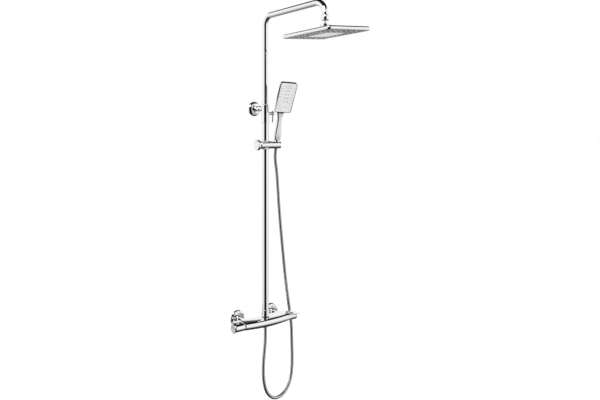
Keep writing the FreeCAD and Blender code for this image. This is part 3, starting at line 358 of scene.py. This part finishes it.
def rounded_loop(corners, steps=8):
    """Points round a section, with each corner turned on a small curve."""
    loop = []
    for index, (y, z, radius) in enumerate(corners):
        corner = Vector((0, y, z))
        before = Vector((0, *corners[index - 1][:2])) - corner
        after = Vector((0, *corners[(index + 1) % len(corners)][:2])) - corner
        reach = min(radius, 0.45 * before.length, 0.45 * after.length)
        first, last = corner + before.normalized() * reach, corner + after.normalized() * reach
        for step in range(steps + 1):
            t = step / steps
            loop.append(first * (1 - t) ** 2 + corner * 2 * t * (1 - t) + last * t ** 2)
    return loop


def bowed_bar(name, left, right, back, parallel=False, rings=40):
    """A bar along X whose front is one smooth bow, closed by flat ends with softened rims."""
    bm = bmesh.new()
    previous = None
    rim = 0.0007
    between = [left + (right - left) * i / rings for i in range(1, rings)]
    stations = [left, left + rim, *between, right - rim, right]
    for x in stations:
        share = 1.0 if parallel else min(1.0, (x / BAR_HALF) ** 2)
        shrink = RIM_SHRINK if x in (left, right) else 1.0
        ring = [bm.verts.new((x, RISER_Y + p.y * shrink, BAR_Z + p.z * shrink))
                for p in rounded_loop(bar_profile(share, back, BAR_TOP))]
        edges = [bm.edges.new((ring[i - 1], ring[i])) for i in range(len(ring))]
        if previous:
            bmesh.ops.bridge_loops(bm, edges=previous + edges)
        previous = edges
    bmesh.ops.holes_fill(bm, edges=[edge for edge in bm.edges if edge.is_boundary], sides=0)
    bmesh.ops.recalc_face_normals(bm, faces=bm.faces)
    return in_chrome(mesh_object(name, bm), 40)


stand_for(bowed_bar("bar_shell", bar_low[0], bar_high[0], 0.018), "valve_body")
stand_for(bowed_bar("temperature_grip", grip_low[0], grip_high[0], 0.016, parallel=True, rings=8),
          "temperature_handle")

# ---------------------------------------------------------------- rain head

HEAD_WIDTH, HEAD_LENGTH, HEAD_CORNER = 0.178, 0.242, 0.014
HEAD_LOW, HEAD_TOP = -0.028, -0.015
HEAD_TURN = Matrix.Translation((0, -0.421, 1.030)) @ Matrix.Rotation(math.radians(-4.5), 4, "Y")


def rounded_plan(inset, z, steps=10):
    """Points round the plate at one height, drawn in from its outline by an inset."""
    radius = max(0.002, HEAD_CORNER - inset)
    half_x, half_y = HEAD_WIDTH / 2 - inset - radius, HEAD_LENGTH / 2 - inset - radius
    points = []
    for quarter, (side_x, side_y) in enumerate(((1, 1), (-1, 1), (-1, -1), (1, -1))):
        for step in range(steps + 1):
            angle = math.pi / 2 * (quarter + step / steps)
            points.append(Vector((side_x * half_x + radius * math.cos(angle),
                                  side_y * half_y + radius * math.sin(angle), z)))
    return points


def skin_rings(bm, rings):
    """Join closed rings of points in order and close both ends."""
    previous, ends = None, []
    for ring in rings:
        vertices = [bm.verts.new(point) for point in ring]
        edges = [bm.edges.new((vertices[i - 1], vertices[i])) for i in range(len(vertices))]
        if previous:
            bmesh.ops.bridge_loops(bm, edges=previous + edges)
        ends.append(edges)
        previous = edges
    for edges in (ends[0], ends[-1]):
        bmesh.ops.contextual_create(bm, geom=edges)


def rain_head():
    """The thin plate with a soft rim, recessed below for the nozzle plate, and its hub with a ball socket."""
    middle = (HEAD_LOW + HEAD_TOP) / 2
    half = (HEAD_TOP - HEAD_LOW) / 2
    rings = [rounded_plan(0.003, HEAD_LOW + 0.0031), rounded_plan(0.003, HEAD_LOW)]
    for step in range(17):
        angle = math.pi * (step / 16 - 0.5)
        depth = 0.0027 if angle < 0 else 0.006
        rings.append(rounded_plan(depth * (1 - math.cos(angle)), middle + half * math.sin(angle)))
    bm = bmesh.new()
    skin_rings(bm, rings)
    hub = [(0.027, HEAD_TOP - 0.0003), (0.027, HEAD_TOP)]
    hub += [(0.015 + 0.012 * (1 - math.sin(a)), HEAD_TOP + 0.005 * (1 - math.cos(a)))
            for a in (math.pi / 2 * i / 8 for i in range(1, 9))]
    hub += [(0.015, -0.0016), (0.0143, -0.0009), (0.0122, -0.0009)]
    hub += [(0.012 * math.cos(a), -0.012 * math.sin(a)) for a in (math.radians(8 + 10 * i) for i in range(8))]
    skin_rings(bm, [[Vector((r * math.cos(2 * math.pi * i / 48), r * math.sin(2 * math.pi * i / 48), z))
                     for i in range(48)] for r, z in hub])
    bmesh.ops.recalc_face_normals(bm, faces=bm.faces)
    bmesh.ops.transform(bm, matrix=HEAD_TURN, verts=bm.verts)
    return in_chrome(mesh_object("rain_head_plate", bm), 40)


stand_for(rain_head(), "head_shell")

# ---------------------------------------------------------------- domed wall covers


COVER_WALL = 0.0015


def domed_cover(solid, hole):
    """A thin dome over the wall in place of a stepped cover, open at its middle for the pipe or rod."""
    low, high = (Vector(corner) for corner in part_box(solid))
    middle, radius, depth = (low + high) / 2, (high.x - low.x) / 2, high.y - low.y
    arc = [math.pi / 2 * step / 14 for step in range(15)]
    reach = radius - hole
    outside = [(hole + reach * math.cos(a), COVER_WALL + (depth - COVER_WALL) * math.sin(a)) for a in arc]
    inside = [(hole + (reach - COVER_WALL) * math.cos(a), 0.0003 + (depth - 0.0018) * math.sin(a))
              for a in arc]
    profile = [(radius - 0.0004, 0), (radius, 0.0004), *outside, *reversed(inside), (radius - COVER_WALL, 0)]
    bm = bmesh.new()
    loops = []
    for r, rise in profile:
        ring = [bm.verts.new((middle.x + r * math.cos(2 * math.pi * i / 64), high.y - rise,
                              middle.z + r * math.sin(2 * math.pi * i / 64))) for i in range(64)]
        loops.append([bm.edges.new((ring[i - 1], ring[i])) for i in range(64)])
    for before, after in zip(loops, loops[1:] + loops[:1]):
        bmesh.ops.bridge_loops(bm, edges=before + after)
    bmesh.ops.recalc_face_normals(bm, faces=bm.faces)
    stand_for(in_chrome(mesh_object(f"domed_{solid}", bm), 50), solid)


PIPE_HOLE, ROD_HOLE = 0.015, 0.0096
for solid, hole in (("escutcheon_hot", PIPE_HOLE), ("escutcheon_cold", PIPE_HOLE),
                    ("bracket_flange", ROD_HOLE)):
    domed_cover(solid, hole)

# ---------------------------------------------------------------- stage

floor_bm = bmesh.new()
bmesh.ops.create_grid(floor_bm, x_segments=1, y_segments=1, size=60)
bmesh.ops.translate(floor_bm, verts=floor_bm.verts, vec=(0, 0, -0.9))
floor = mesh_object("floor", floor_bm, smooth=False)
floor_material, _, floor_shader = new_material("pale_floor")
floor_shader.inputs["Base Color"].default_value = (0.92, 0.92, 0.92, 1)
floor_shader.inputs["Roughness"].default_value = 0.9
floor_shader.inputs["Emission Color"].default_value = (1, 1, 1, 1)
floor_shader.inputs["Emission Strength"].default_value = 0.85
finish_with(floor, floor_material)
floor.visible_glossy = False

world = bpy.data.worlds.new("studio")
bpy.context.scene.world = world
world.use_nodes = True
tree = world.node_tree
tree.nodes.clear()


def math_node(kind, *values):
    node = tree.nodes.new("ShaderNodeMath")
    node.operation = kind
    for index, value in enumerate(values):
        if isinstance(value, (int, float)):
            node.inputs[index].default_value = value
        else:
            tree.links.new(value, node.inputs[index])
    return node.outputs[0]


def ramp(value, stops):
    node = tree.nodes.new("ShaderNodeValToRGB")
    elements = node.color_ramp.elements
    while len(elements) < len(stops):
        elements.new(0.5)
    for element, (position, grey) in zip(elements, stops):
        element.position = position
        element.color = (grey, grey, grey, 1)
    tree.links.new(value, node.inputs["Fac"])
    return node.outputs["Color"]


# the studio: a pale tent with a tall dark opening on the camera's side, a grey far wall, and a dark
# roof and base; facing runs from 0 behind the column to 1 at the opening, height from 0 below to 1 above
TOWARD_CAMERA = Vector((camera.location.x, camera.location.y + 0.2, 0)).normalized()
direction = tree.nodes.new("ShaderNodeTexCoord")
split = tree.nodes.new("ShaderNodeSeparateXYZ")
tree.links.new(direction.outputs["Generated"], split.inputs["Vector"])
across = math_node("ADD", math_node("MULTIPLY", split.outputs["X"], TOWARD_CAMERA.x),
                   math_node("MULTIPLY", split.outputs["Y"], TOWARD_CAMERA.y))
level = math_node("SQRT", math_node("SUBTRACT", 1.0001, math_node("POWER", split.outputs["Z"], 2)))
facing = math_node("ADD", math_node("MULTIPLY", math_node("DIVIDE", across, level), 0.5), 0.5)
height = math_node("ADD", math_node("MULTIPLY", split.outputs["Z"], 0.5), 0.5)
opening = ramp(facing, [(0.0, 1.0), (0.84, 1.0), (0.885, 0.9), (0.915, 0.015), (1.0, 0.012)])
far_wall = ramp(facing, [(0.0, 0.34), (0.03, 0.42), (0.10, 0.93), (0.2, 1.0), (1.0, 1.0)])
low_down = ramp(height, [(0.0, 1.0), (0.58, 1.0), (0.63, 0.0), (1.0, 0.0)])
far_wall = math_node("SUBTRACT", 1, math_node("MULTIPLY", low_down, math_node("SUBTRACT", 1, far_wall)))
high_up = ramp(height, [(0.0, 0.0), (0.745, 0.0), (0.76, 1.0), (1.0, 1.0)])
behind = ramp(facing, [(0.0, 1.0), (0.25, 1.0), (0.32, 0.0), (1.0, 0.0)])
canopy = math_node("SUBTRACT", 1, math_node("MULTIPLY", math_node("MULTIPLY", high_up, behind), 0.93))
roof_and_base = ramp(height, [
    (0.0, 0.02), (0.10, 0.03), (0.19, 0.38), (0.325, 0.8), (0.5, 1.0), (0.78, 1.0), (0.82, 0.03), (1.0, 0.02),
])
shade = math_node("MULTIPLY", math_node("MULTIPLY", opening, far_wall),
                  math_node("MULTIPLY", canopy, roof_and_base))
tent = tree.nodes.new("ShaderNodeBackground")
tent.inputs["Strength"].default_value = 0.98
tree.links.new(shade, tent.inputs["Color"])
paper = tree.nodes.new("ShaderNodeBackground")
paper.inputs["Color"].default_value = (1, 1, 1, 1)
paper.inputs["Strength"].default_value = 1.0
path_kind = tree.nodes.new("ShaderNodeLightPath")
seen = tree.nodes.new("ShaderNodeMixShader")
tree.links.new(path_kind.outputs["Is Camera Ray"], seen.inputs[0])
tree.links.new(tent.outputs[0], seen.inputs[1])
tree.links.new(paper.outputs[0], seen.inputs[2])
output = tree.nodes.new("ShaderNodeOutputWorld")
tree.links.new(seen.outputs[0], output.inputs["Surface"])

key_light = bpy.data.lights.new("soft_box", "AREA")
key_light.shape = "RECTANGLE"
key_light.size, key_light.size_y = 1.6, 1.2
key_light.energy = 28
soft_box = bpy.data.objects.new("soft_box", key_light)
soft_box.location = (-1.6, -1.4, 2.4)
soft_box.rotation_euler = (Vector((0, -0.2, 0.4)) - soft_box.location).to_track_quat("-Z", "Y").to_euler()
bpy.context.scene.collection.objects.link(soft_box)

bpy.context.scene.view_settings.view_transform = "Standard"
